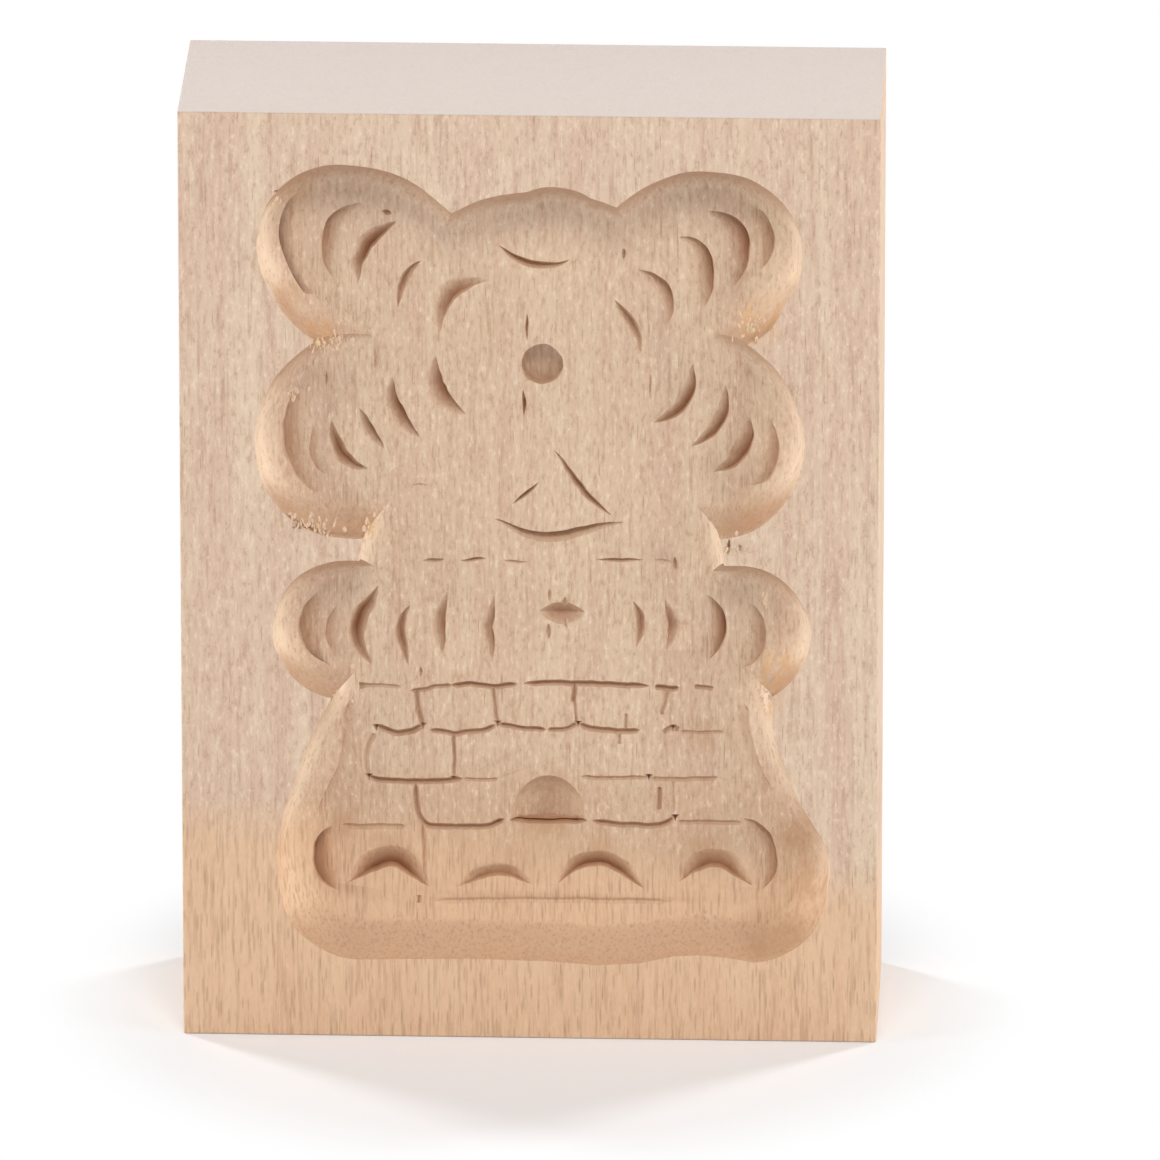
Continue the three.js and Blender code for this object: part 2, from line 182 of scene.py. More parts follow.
# Knife and gouge cuts on the pocket's floor. Each is a way through a few points, its width and
# depth, and the side of its soft flank: 1 for the right as seen, or up, -1 for the left, or down,
# and 0 or nothing for a cut with two equal flanks. A spread or deepening factor holds for a whole
# list, and a fade is the share of its length after which a cut has its full width.
SLAT_SPREAD = 1.16
SLAT_DEEPENING = 0.9
SLATS = [
    # On the upper left sail.
    ([(-29.4, 114.2), (-30.8, 110.6), (-31, 107), (-30.6, 104), (-29.2, 101.4),
      (-27, 100.2)], 3, 0.9, 1),
    ([(-20.6, 112.2), (-23, 111.4), (-24.7, 109.6), (-25.4, 107), (-25.6, 104.4),
      (-24.6, 101.6)], 2.1, 1, 1),
    ([(-16.7, 110.5), (-19.4, 109), (-21.6, 106.9), (-22.6, 104.2), (-22.3, 100.8)], 2.1, 1.5, -1),
    ([(-19.2, 111.5), (-17.6, 111)], 0.6, 0.5, 0),
    ([(-13.4, 105.1), (-15, 104), (-16, 102.6), (-16.8, 100.4), (-17.1, 97.6)], 1, 0.9, 0),
    ([(-4.8, 102.5), (-8.4, 102.2), (-10.9, 100.8), (-12.2, 98), (-12.2, 93.8)], 2.5, 1.2, -1),
    # On the upper right sail.
    ([(27.8, 113), (29.3, 110.9), (29.9, 108.2), (29.8, 105.6), (28.8, 103.4)], 2, 0.9, -1),
    ([(21.8, 111.9), (24.6, 110.7), (26.3, 108.9), (26.7, 106.4), (26.5, 103.6),
      (25.6, 101.2)], 2.3, 1.4, -1),
    ([(18.2, 108.2), (20.4, 107.5), (21.7, 106), (22.2, 103.8), (22.4, 101),
      (21.9, 98.2)], 2.1, 1.3, -1),
    ([(13, 103.9), (15.3, 102.6), (16.8, 100.9), (17.4, 98.8), (17.5, 95.8)], 1.8, 1.1, -1),
    ([(10.3, 100.3), (11.6, 98.5), (13, 96.6), (13.9, 94.6), (14.3, 92)], 1.1, 0.9, 0),
    # On the lower left sail.
    ([(-12.4, 92.5), (-12.9, 89.2), (-12.3, 86.6), (-10.8, 84.9), (-7.9, 83.3)], 2.6, 1.4, -1),
    ([(-18, 89.6), (-18.4, 86.2), (-17.5, 83.6), (-16, 81.8), (-13.9, 80.2)], 2.2, 1.4, -1),
    ([(-22.4, 85.2), (-21.6, 82.2), (-20.6, 80.6), (-18.7, 78.6)], 1.7, 1.1, -1),
    ([(-25.7, 83.4), (-25.3, 80.4), (-24.4, 78.3), (-22.8, 77), (-20.5, 76.2)], 1.6, 1.3, 0),
    ([(-27.3, 83.6), (-27.6, 80), (-27.2, 77.2), (-25.4, 75)], 1.1, 0.5, 1),
    ([(-29.2, 88.8), (-30, 84.6), (-30.1, 80.6), (-29.6, 77.4), (-28.5, 74.8),
      (-27, 72.6)], 2.6, 0.9, 1),
    # On the lower right sail.
    ([(20.8, 91.8), (20.3, 88.4), (19.2, 86), (17.7, 84.4), (15.2, 83.1)], 1.8, 1.4, -1),
    ([(24.8, 89), (24.8, 86), (24, 83.6), (22.6, 81.7), (20.1, 79.7)], 1.6, 1.3, -1),
    ([(28.1, 84.6), (27.6, 81.6), (26.6, 79.6), (25.4, 78), (22.9, 76.5)], 2.2, 1.4, -1),
    ([(30.3, 85), (30.6, 81.4), (30.5, 78.4), (29.6, 76.2), (27.2, 74.6)], 1.9, 0.8, -1),
]
# Across the gallery.
RAILS = [
    ([(-26.6, 60.2), (-28, 57), (-28.3, 54.2), (-27.6, 51.4), (-26.2, 49)], 2.4, 0.9, 1),
    ([(-24.4, 58.4), (-25.3, 55.6), (-25.4, 53), (-24.6, 49.8)], 1.4, 0.6, 1),
    ([(-19.4, 61), (-20.8, 58.2), (-22, 56.3), (-22.5, 54), (-22, 51.8), (-20.3, 49.2)], 1.9, 1.5, 0),
    ([(-15.3, 58.4), (-16.4, 56.2), (-16.9, 54.2), (-16.4, 51.8), (-15.6, 48.9)], 1.2, 1.1, 0),
    ([(-10.7, 60.4), (-11.9, 57.4), (-12.3, 55), (-12, 52.8), (-11.5, 50.2)], 1.8, 1.1, -1),
    ([(-4.8, 60.2), (-5.5, 57), (-6, 54.8), (-5.6, 52.8), (-5.2, 49.2)], 1.6, 1, -1),
    ([(13, 59.2), (14, 56.8), (14.2, 54.8), (13.5, 52)], 1.2, 1, 0),
    ([(17.4, 59.6), (18.6, 57), (19.1, 55.4), (18.6, 53.6), (17.6, 51.4)], 1.9, 1, 1),
    ([(22.3, 60.1), (23.6, 57.6), (24, 55.2), (23.6, 53), (22.6, 50.4)], 2, 1.4, -1),
    ([(27.4, 59.3), (28.8, 56.6), (29.1, 54), (28.6, 51.6), (26.9, 49.6)], 1.9, 0.8, -1),
]
# The hills, and the two ends of the ground.
HILL_FADE = 0.36
HILLS = [
    ([(-24.3, 19.3), (-21.8, 22.3), (-18.5, 23.7), (-15.6, 22.6), (-12.6, 18.9)], 3.2, 1.4, 1),
    ([(-10.2, 19), (-7.4, 21.2), (-4.4, 22), (-1.8, 21.5), (1, 19.4)], 2, 0.85, 1),
    ([(3, 19.4), (5.2, 22.5), (8.6, 23.7), (11.8, 22.6), (15.3, 19)], 2.3, 1.2, 1),
    ([(18.6, 20), (20.8, 22.9), (23.6, 24), (26.4, 23.1), (29.4, 19.6)], 2.8, 1.1, 1),
    ([(-25.5, 27.6), (-26.4, 25.2), (-26.6, 23), (-26.2, 20.8), (-24.6, 18.4)], 2.8, 1.1, 1),
    ([(26.8, 29.3), (29.3, 27.3), (30.5, 24.8), (30.7, 22), (29.4, 18.8)], 2, 0.8, -1),
]
# The cap, the roof and its eaves, the line over the gallery, the stud, and small slips of the knife.
LINES = [
    ([(-4.6, 107.6), (-3, 106), (-0.6, 104.7), (2.6, 104.3), (5.9, 105.3)], 1, 0.8),
    ([(11.9, 106.9), (12, 105)], 0.6, 0.5),
    ([(18.8, 114.2), (18.9, 106), (18.8, 99.6)], 0.3, 0.15),
    ([(-0.5, 98.2), (-0.5, 93.6)], 0.45, 0.6),
    ([(-0.9, 87.6), (-0.8, 83.6)], 0.55, 0.9),
    ([(15.4, 90.4), (15.4, 86.2)], 0.35, 0.3),
    ([(-26.3, 90.2), (-26.4, 86.8)], 0.35, 0.3),
    ([(-20, 94), (-20, 89.2)], 0.35, 0.25),
    ([(2.4, 79.9), (3.9, 78), (5.6, 75.4), (7.4, 73.1), (9.6, 71.1), (11.3, 69.8)], 0.9, 0.8),
    ([(1.5, 75.4), (-0.4, 73.4), (-2.8, 71.4)], 0.5, 0.5),
    ([(-6, 70), (-3.6, 69.1), (-1, 67.7), (2.6, 67.1), (6.4, 67.9), (10.2, 69),
      (13.4, 69.6)], 1.6, 1.1, -1),
    ([(2.4, 60.5), (2.4, 58.3)], 0.55, 0.4),
    ([(-14.2, 49.6), (-14.2, 47.8)], 0.45, 0.4),
    ([(2.3, 55.8), (2.4, 53.1)], 0.65, 0.5),
    ([(-14.5, 63.8), (-12.6, 64.1), (-10.6, 64.1)], 0.5, 0.35),
    ([(-9.6, 64), (-7.2, 64.2), (-5.2, 64.2)], 0.5, 0.4),
    ([(-4.6, 64.1), (0.6, 63.9)], 0.35, 0.2),
    ([(7.4, 64.3), (12, 64.4), (15.6, 64.4)], 0.5, 0.4),
    ([(15.2, 64), (19, 63.6)], 0.8, 0.25, -1),
    ([(18.6, 65.1), (18.7, 62.9)], 0.55, 0.5),
    ([(0.7, 57.2), (4.2, 57), (7.4, 57.2)], 2.9, 1.1),
    ([(4.5, 59.6), (4.3, 57), (4.6, 54.6)], 1.5, 0.8),
]
# The lines under and over the bricks.
BRICK_LINE_SPREAD = 1.12
BRICK_LINE_DEEPENING = 0.68
BRICK_LINE_FADE = 0.13
COURSES = [
    ([(-23.8, 46.5), (-20, 46.8), (-16.4, 46.5)], 0.4, 0.3),
    ([(-15.8, 46.1), (-13.6, 46.3), (-12.4, 46.7), (-10, 46.9)], 0.5, 0.5),
    ([(-10.6, 46.8), (-8.4, 47.1), (-5.6, 46.9), (-4, 46.8), (-1.5, 47.3)], 0.65, 0.8),
    ([(-1.4, 47.2), (4, 47.4), (10, 47.3), (15.8, 47.1)], 0.7, 0.85),
    ([(15.9, 47.1), (17.8, 46.8), (19.3, 46.9)], 0.7, 0.8),
    ([(21, 47.1), (23.8, 46.9)], 0.55, 0.5),
    ([(-20.2, 41.3), (-18.4, 40.5), (-16.8, 40.3), (-15.2, 40.7), (-13.9, 41.5)], 0.75, 0.8),
    ([(-13.4, 40.8), (-11.4, 40.5), (-9.8, 40.2), (-8, 40.6), (-5.8, 40.9), (-4.2, 41.7)], 0.65, 0.7),
    ([(-4.4, 41.6), (-2.6, 41.4), (-0.6, 41.1), (2.2, 41)], 0.6, 0.7),
    ([(2, 41), (4.4, 41.1), (6.1, 41.9)], 0.55, 0.6),
    ([(5.9, 41.8), (8, 41.2), (11.4, 40.9), (14.4, 41)], 0.7, 0.75),
    ([(17, 40.7), (18.4, 41.5), (19.3, 41)], 0.6, 0.5),
    ([(19, 41), (22.4, 40.8), (25.4, 40.9)], 0.35, 0.25),
    ([(-21.5, 34.8), (-20.2, 33.9), (-16, 33.6), (-12.4, 33.7), (-8.4, 34.1)], 0.7, 0.8),
    ([(-9, 34), (-4, 34)], 0.4, 0.3),
    ([(6, 34.5), (12, 34.4), (15.8, 34.7)], 0.45, 0.35),
    ([(15, 34.5), (19, 34.3), (24.8, 34.7)], 0.5, 0.35),
    ([(-25, 27.5), (-21.6, 27.3), (-15.8, 27.5)], 0.6, 0.35),
    ([(-15, 33.6), (-14.9, 31.4), (-14.6, 29.3), (-13.6, 27.8), (-12, 27.5), (-9, 27.4)], 0.75, 0.8),
    ([(-10.4, 27.4), (-6, 27.6), (-4.6, 28), (-3.3, 28.8)], 0.7, 0.8),
    ([(7.6, 28.5), (10, 28.2), (14.5, 27.9), (17.2, 28.2), (18.9, 29.4)], 0.7, 0.75),
    ([(18.6, 28.5), (23, 28.5), (27.8, 28.5)], 0.5, 0.35),
    ([(-15.2, 17.1), (4, 17.5), (20.8, 17.4)], 0.6, 0.25),
    ([(-2.9, 28.5), (2.3, 28.3), (7.5, 28.5)], 0.55, 1.7),
]
# The upright joints between the bricks.
JOINTS = [
    ([(-14.8, 46.4), (-14.6, 43.8), (-14, 41)], 0.75, 0.8),
    ([(-4.8, 47), (-4.7, 44.4), (-4.2, 41.4)], 0.65, 0.6),
    ([(5.7, 47.4), (5.6, 44.6)], 0.65, 0.8),
    ([(5.7, 45), (5.9, 41.4)], 0.4, 0.4),
    ([(17.8, 47), (17.4, 45), (17, 43)], 0.7, 0.6),
    ([(12.3, 43.4), (12.3, 41.2)], 0.5, 0.5),
    ([(-10, 40.4), (-9.9, 37.4), (-10, 34)], 0.5, 0.6),
    ([(-20, 40.4), (-21.2, 38.4), (-21.4, 36.4), (-21.1, 34.2)], 0.7, 0.45),
    ([(11.5, 41), (11.5, 39)], 0.5, 0.45),
    ([(16.7, 33.4), (16.6, 30)], 0.65, 0.7),
    ([(18.4, 34.4), (18.5, 29.4)], 0.5, 0.3),
    ([(-14, 28.4), (-13.9, 24), (-13.9, 19.8)], 0.6, 0.45),
    ([(-14.6, 18), (-14.6, 16.8)], 0.6, 0.5),
]
# Broad gouge passes at the foot of the tower's walls. They start this far above the pocket's floor.
PASS_RISE = 1.2
PASS_FADE = 0.2
PASSES = [
    ([(-21.4, 47), (-21.5, 42.6), (-21.8, 38), (-22.8, 34), (-24.4, 30.6), (-26.4, 25)], 5.4, 1.5, 1),
    ([(25.2, 47), (25.7, 41), (26.7, 36.6), (28.2, 33), (30.4, 29.6)], 5.6, 1.5, -1),
    ([(30.4, 31.4), (32, 29), (33, 26), (33.4, 22.6), (32.4, 16.8)], 5.2, 1.32, 1),
]
# Splits in the face, beside the pocket.
SPLITS = [
    ([(25.7, 69.2), (25.6, 66.6)], 0.55, 0.9),
    ([(-32.9, 115.3), (-31.6, 115.1)], 0.7, 0.7),
    ([(-30.4, 88.8), (-28.8, 88.7)], 0.8, 0.8),
]
# Three-sided nicks where the lines round the bricks cross.
CORNER_NICKS = [
    (-20, 41.1),
    (-14, 41.4),
    (-4.3, 41.8),
    (6.1, 41.9),
    (18.4, 41.5),
    (-21, 34.3),
    (-10, 34.1),
    (15.3, 34.7),
    (18.7, 29.2),
]
NICK_SIZE = 1.3
NICK_DEPTH = 0.8

STUD = (4.2, 57.1)
STUD_REACH = 3.4
HUB_BORE = 5.4
HUB_DEPTH = 1.9
HUB_RAGGED = 0.16  # how far its edge strays, over lengths of about
HUB_RAGGED_LENGTH = 1.1
DOOR = (2.3, 28.3)
DOOR_SIZE = (10.2, 6.6)
DOOR_DEPTH = 1.7
DOOR_RAISE = 0.35  # the middle of its bowl lies this share of its depth above the floor
DOOR_SILL_LEAN = 0.25  # how steeply its straight side falls away

# How dark the cuts are painted, for fibres the knife pressed and for painted shade in the hollows: all
# of it at this depth, and a share of it in some places.
FULL_PRESS_AND_SHADE = 0.8 * MM
HUB_PRESS_AND_SHADE = 0.05
STUD_PRESS_AND_SHADE = 0.85
DOOR_PRESS_AND_SHADE = 0.05
DOOR_SILL = 0.3  # the line along the door's sill stays dark up to this height
CARVED_REACH = (42, 8, 118)  # no carving lies further out, lower or higher than this

# Places where the fibres tore: across, up, how far they spread both ways, and how many.
TORN = [
    (-32.4, 114.2, 1.6, 0.9, 12),
    (-25.9, 94.8, 3.0, 0.9, 40),
    (28.8, 97.6, 2.8, 2.2, 22),
    (-30.2, 88.0, 1.2, 1.6, 12),
    (-28.4, 70.0, 4.0, 1.4, 60),
    (-20.2, 70.4, 1.4, 2.6, 20),
    (26.6, 67.8, 2.4, 1.6, 26),
    (33.0, 70.6, 2.4, 2.0, 12),
    (30.2, 47.4, 1.4, 1.6, 14),
    (30.6, 60.7, 1.0, 1.6, 6),
    (-25.6, 46.2, 2.4, 1.4, 12),
]
TORN_SEED = 41
SPLINTER = (0.16, 0.02, 1.3)  # a torn fibre's radius at its foot and tip, and its length
CRUMB = 0.22  # the radius of a crumb of wood that still hangs on
CRUMB_SHARE = 0.75
CRUMB_STRETCH = 2.2  # a crumb is this much longer along the grain than it is thick
# Each is drawn at random between a least and a most, as shares of the size above.
TORN_GROWTH = (0.35, 1.1)
TORN_WIDTH = (0.5, 1.5)
TORN_THICKNESS = (0.4, 1.1)
TORN_LIFT = (-0.05, 0.22)  # how far it stands in front of the face, in millimetres
# And these are drawn round a middle value: how far it leans out and aside, in radians.
TORN_LEAN_OUT = (0.12, 0.12)
TORN_LEAN_ASIDE = (0, 0.32)
TORN_SCATTER = (0, 0.5)  # as a share of the spread

# Tawny patches round the places where the grain tore, partly the torn wood's tint and partly painted
# shade with bounced light beside the torn fibres: across, up and how far.
TAWNY_AND_SHADE_SPOTS = [
    (29.4, 98.0, 4.6),
    (-26.9, 95.6, 3.2),
    (-31.5, 87.0, 2.0),
    (31.8, 50.0, 4.2),
    (31.2, 46.4, 3.4),
    (-21.0, 69.0, 2.4),
    (-29.4, 45.8, 2.2),
]
# Brown places: across, up and how far. At the door and the stud they are painted shade in the hollows,
# and at the pocket's right side painted shade with bounced light; elsewhere they are only browner.
BROWN_AND_SHADE_SPOTS = [
    (34.4, 26.5, 5.0),
    (36.4, 20.0, 6.5),
    (32.0, 13.6, 6.5),
    (29.0, 70.0, 6.0),
    (-22.6, 70.5, 3.6),
    (2.3, 31.4, 6.4),
    (2.0, 29.6, 6.0),
    (-30.8, 100.4, 3.4),
    (4.2, 57.1, 3.2),
    (-24.6, 27.4, 4.0),
    (-18.6, 24.2, 4.4),
    (23.0, 24.6, 5.0),
    (8.6, 24.4, 4.0),
    (-30.0, 114.6, 4.6),
    (21.6, 40.6, 4.0),
]
# Chips that broke out of the rims: across, up and their radius.
CHIPS = [
    (27.1, 67.9, 0.45),
    (-27.0, 94.6, 1.3),
    (-24.6, 95.6, 1.0),
    (28.4, 96.6, 1.5),
    (30.6, 98.6, 1.2),
    (-30.2, 87.6, 0.9),
    (-32.3, 114.9, 0.5),
    (-29.6, 70.4, 1.0),
    (30.4, 46.8, 0.9),
]
CHIP_SHAPE = (0.7, 1.0, 0.4)  # across, up and into the wood, as shares of the radius
CHIP_RAISE = 0.1
CHIP_ROUGH = 0.3  # how uneven the first one is. Each next one is rougher by a third of that.
CHIP_ROUGH_RATE = 1.7

# A gouge's section across the cut: one steep flank, and a hollow one that runs out softly.
GOUGE_SECTION = [(1.0, 0.0), (0.8, 0.95), (0.5, 0.86), (0.05, 0.56), (-0.45, 0.24), (-1.0, 0.0)]
KNIFE_SECTION = [(1.0, 0.0), (0.42, 0.7), (0.0, 1.0), (-0.42, 0.7), (-1.0, 0.0)]
CUT_RINGS = 26
WAY_STEPS = 12  # points on a way from each of its given points to the next
CUT_SWELL = 0.85  # the lower, the blunter a cut's two ends
CUT_WANDER = 0.15  # how far the knife strays
CUT_WANDER_RATE = 0.7  # and how often in a millimetre


def size(name, description, default):
    """A length that a user can change."""
    return bpy.props.FloatProperty(
        name=name, description=description, default=default, min=0.0, unit="LENGTH", precision=4
    )


def angle(name, description, degrees):
    """An angle that a user can change."""
    return bpy.props.FloatProperty(
        name=name, description=description, default=math.radians(degrees), subtype="ANGLE"
    )


def colour(name, description, default):
    """A colour that a user can change."""
    return bpy.props.FloatVectorProperty(
        name=name, description=description, default=default, min=0.0, max=1.0, size=3, subtype="COLOR"
    )


def srgb(red, green, blue):
    """A colour as seen, from 0 to 255, as the linear values that a material takes."""
    return tuple((c / 255) ** 2.2 for c in (red, green, blue))


class MouldSizes(bpy.types.PropertyGroup):
    """Sizes of the block and its pocket."""

    width: size("Width", "Across the block", BLOCK_HIGH.x - BLOCK_LOW.x)
    height: size("Height", "Along the grain", BLOCK_HIGH.z - BLOCK_LOW.z)
    thickness: size("Thickness", "From the carved face to the back", BLOCK_HIGH.y - BLOCK_LOW.y)
    arris: size("Arris", "How much the block's edges are eased", 0.25 * MM)
    pocket_depth: size("Pocket depth", "From the face to the pocket's floor", 4.6 * MM)
    rim_step: size("Rim step", "The wall stands upright this far below the face", 0.4 * MM)
    cove: size("Cove", "How far the rounded wall runs in", 4.0 * MM)
    tower_cove: size("Tower cove", "How far the tower's gentler wall runs in", 4.8 * MM)
    rim_ease: size("Rim ease", "How far the rim is rubbed down", 0.24 * MM)


class MouldColours(bpy.types.PropertyGroup):
    """Colours of the wood."""

    wood: colour("Wood", "Beech across the face", srgb(221, 190, 165))
    streak: colour("Streak", "Paler, yellower growth", srgb(227, 201, 174))
    blush: colour("Blush", "Pinker growth", srgb(217, 183, 161))
    fleck: colour("Fleck", "The short dark rays in the face", srgb(180, 140, 110))
    # Pore and shade: fine dark lines along the grain, and also the painted shade on walls that face
    # down under the rims.
    pore_and_shade: colour("Pore", "Fine dark lines along the grain", srgb(172, 130, 102))
    speck: colour("Speck", "Pale specks where fibres stand up", srgb(241, 219, 193))
    # End grain and sheen: the sawn ends' own tone, painted paler and greyer for the sheen of light
    # glancing off the top.
    end_grain_and_sheen: colour("End grain", "The sawn top and foot", srgb(214, 202, 195))
    # Cut and Deep darken the cuts by depth: fibres pressed dark by the knife, and painted shade in the
    # hollows.
    cut: colour("Cut", "The bottoms of the knife cuts", srgb(165, 112, 78))
    # Wall highlight: painted highlight on the side walls under the rim, where the side lamps light
    # them.
    wall_highlight: colour("Rubbed", "The smooth side walls under the rim", srgb(248, 222, 193))
    # Tawny and shade: the torn wood's tint, with painted shade and bounced light round the torn places.
    tawny_and_shade: colour("Stain", "Where the grain tore out at the rims", srgb(228, 181, 132))
    # Brown and shade: browner patches, which at the door, the stud and the pocket's right side are
    # painted shade.
    brown_and_shade: colour("Browned", "Where handling browned the wood", srgb(190, 143, 103))
    pocket_tone: colour("Handled", "The pocket's floor", srgb(214, 173, 131))
    # Deep: painted shade, over pressed fibres, at the bottoms of the deepest cuts.
    deep: colour("Deep", "The bottoms of the deepest cuts", srgb(112, 73, 50))
    foot: colour("Foot", "The warmer wood at the foot", srgb(236, 193, 153))
    torn: colour("Torn fibre", "Fresh torn fibres", srgb(228, 198, 160))


class StageSettings(bpy.types.PropertyGroup):
    """Floor, lamps and camera."""

    camera_distance: size("Camera distance", "From the aim point to the lens", 2591.8 * MM)
    lens: bpy.props.FloatProperty(name="Lens", description="Focal length in millimetres", default=620.7)
    azimuth: angle("Azimuth", "How far right the camera stands", 2.12)
    elevation: angle("Elevation", "How far the camera looks down", 19.34)


def deselect():
    bpy.ops.object.select_all(action="DESELECT")


def added(name):
    """What was just added, with its name."""
    piece = bpy.context.object
    piece.name = name
    return piece


def settle():
    """Works a piece's place, turn and size into its mesh."""
    bpy.ops.object.transform_apply(location=True, rotation=True, scale=True)


def edit_all():
    """Opens edit mode with all of the mesh selected."""
    bpy.ops.object.mode_set(mode="EDIT")
    bpy.ops.mesh.select_all(action="SELECT")


def leave_edit():
    bpy.ops.object.mode_set(mode="OBJECT")


def make_active(piece):
    deselect()
    piece.select_set(True)
    bpy.context.view_layer.objects.active = piece


def pick_edges(piece, test):
    """Opens edit mode with the edges selected whose two ends pass the test."""
    make_active(piece)
    bpy.ops.object.mode_set(mode="EDIT")
    bpy.ops.mesh.select_mode(type="EDGE")
    bpy.ops.mesh.select_all(action="DESELECT")
    leave_edit()
    for edge in piece.data.edges:
        edge.select = all(test(piece.data.vertices[i].co) for i in edge.vertices)
    bpy.ops.object.mode_set(mode="EDIT")


def outline_solid(name, points, top, bottom):
    """A prism on an outline, drawn flat: across, up the block, and out of the wood."""
    bpy.ops.mesh.primitive_circle_add(vertices=len(points), fill_type="NGON")
    solid = added(name)
    for vertex, (x, y) in zip(solid.data.vertices, points):
        vertex.co = (x * MM, y * MM, top)
    edit_all()
    bpy.ops.mesh.extrude_region_move(TRANSFORM_OT_translate={"value": (0, 0, bottom - top)})
    bpy.ops.mesh.select_all(action="SELECT")
    bpy.ops.mesh.normals_make_consistent(inside=False)
    leave_edit()
    return solid


def stand_up(piece, out):
    """Turns a piece drawn flat so that its outward axis looks out of the block's face."""
    make_active(piece)
    piece.rotation_euler = (math.radians(90), 0, 0)
    piece.location = (0, out, 0)
    settle()
    return piece


def cove_cutter(name, points, cove, sizes, roundness=WALL_ROUNDNESS):
    """Sinks an outline to the pocket's floor with a rounded wall and an eased rim."""
    low = -sizes.rim_step - cove
    cutter = outline_solid(name, points, OVERRUN, low)
    pick_edges(cutter, lambda co: co.z < low + HAIR)
    bpy.ops.mesh.bevel(offset=cove, segments=COVE_STEPS, profile=roundness, clamp_overlap=False)
    leave_edit()
    pick_edges(cutter, lambda co: co.z < -sizes.rim_step + HAIR)
    stretch = (sizes.pocket_depth - sizes.rim_step) / cove
    bpy.ops.transform.resize(value=(1, 1, stretch), center_override=(0, 0, -sizes.rim_step))
    leave_edit()
    pick_edges(cutter, lambda co: co.z > OVERRUN - HAIR)
    reach = (OVERRUN + sizes.rim_step) / sizes.rim_step
    bpy.ops.transform.shrink_fatten(value=sizes.rim_ease * reach * math.sqrt(2))
    leave_edit()
    for vertex in cutter.data.vertices:
        place = vertex.co / WALL_WAVE_LENGTH
        vertex.co.x += WALL_WAVE * noise.noise(place)
        vertex.co.y += WALL_WAVE * noise.noise(place + SECOND_WAVE)
    return stand_up(cutter, -sizes.thickness / 2)


def way_through(points):
    """A smooth way through a few points: gives the place and direction at a share of its length."""
    knots = [Vector(p) for p in points]
    if len(knots) == 2:
        knots = [knots[0], (knots[0] + knots[1]) / 2, knots[1]]
    line = []
    for i in range(len(knots) - 1):
        before = knots[max(0, i - 1)]
        after = knots[min(len(knots) - 1, i + 2)]
        first, second = knots[i], knots[i + 1]
        handle = first + (second - before) / 6
        other = second - (after - first) / 6
        corners = [p.to_3d() for p in (first, handle, other, second)]
        line = line[:-1] + [p.to_2d() for p in geometry.interpolate_bezier(*corners, WAY_STEPS)]
    runs = [0.0]
    for a, b in zip(line, line[1:]):
        runs.append(runs[-1] + (b - a).length)

    def at(share):
        run = share * runs[-1]
        i = max(k for k in range(len(runs) - 1) if runs[k] <= run + HAIR)
        piece_run = (run - runs[i]) / (runs[i + 1] - runs[i])
        return line[i].lerp(line[i + 1], min(1.0, piece_run)), (line[i + 1] - line[i]).normalized()

    return at


def knife_cut(name, floor, points, width, depth, soft=0, fade=0.5):
    """A cutter drawn out of a sphere along a cut: it swells from nothing and runs out again."""
    section = GOUGE_SECTION if soft else KNIFE_SECTION
    count = len(section)
    bpy.ops.mesh.primitive_uv_sphere_add(segments=count, ring_count=CUT_RINGS, radius=1)
    cutter = added(name)
    at = way_through(points)
    fall = depth * MM + CUT_RAISE
    grow = fall / (depth * MM)
    run = Vector(points[-1]) - Vector(points[0])
    left_side = -run.y if abs(run.y) > abs(run.x) else run.x
    flip = -1 if left_side * soft > 0 else 1
    for vertex in cutter.data.vertices:
        share = math.acos(max(-1.0, min(1.0, -vertex.co.z))) / math.pi
        turn = math.atan2(vertex.co.y, vertex.co.x) / (2 * math.pi) * count
        side, drop = section[math.floor(turn) % count]
        swell = math.sin(math.pi / 2 * min(1.0, share / fade, (1 - share) / fade)) ** CUT_SWELL
        middle, along = at(share)
        across = Vector((-along.y, along.x)) * flip
        drift = Vector((middle.x * CUT_WANDER_RATE, middle.y * CUT_WANDER_RATE, width))
        wander = CUT_WANDER * noise.noise(drift)
        spot = middle + across * (side * width / 2 * grow * swell + wander)
        vertex.co = (spot.x * MM, spot.y * MM, CUT_RAISE - drop * fall * swell)
    edit_all()
    bpy.ops.mesh.normals_make_consistent(inside=False)
    leave_edit()
    return stand_up(cutter, floor)


def nick_cutter(x, z, floor):
    """A small pit with three sloping sides that meet in a point."""
    reach = NICK_DEPTH * MM + CUT_RAISE
    grow = reach / (NICK_DEPTH * MM)
    bpy.ops.mesh.primitive_cone_add(vertices=3, radius1=1, depth=reach)
    cutter = added("nick")
    cutter.rotation_euler = (math.pi, 0, 0)
    bpy.ops.object.transform_apply(location=False, rotation=True, scale=False)
    cutter.scale = (NICK_SIZE / 2 * MM * grow, NICK_SIZE / 2 * MM * grow, 1)
    cutter.location = (x * MM, z * MM, (CUT_RAISE - NICK_DEPTH * MM) / 2)
    settle()
    return stand_up(cutter, floor)


def door_cutter(floor):
    """A hollow like half a bowl, with its straight side down."""
    bpy.ops.mesh.primitive_uv_sphere_add(segments=40, ring_count=24, radius=1)
    cutter = added("door")
    x, z = DOOR
    width, height = DOOR_SIZE
    cutter.scale = (width / 2 * MM, height * MM, DOOR_DEPTH * MM * (1 + DOOR_RAISE))
    cutter.location = (x * MM, z * MM, DOOR_DEPTH * MM * DOOR_RAISE)
    settle()
    edit_all()
    sill = (0, 1, DOOR_SILL_LEAN)
    bpy.ops.mesh.bisect(plane_co=(0, z * MM, 0), plane_no=sill, use_fill=True, clear_inner=True)
    leave_edit()
    return stand_up(cutter, floor)


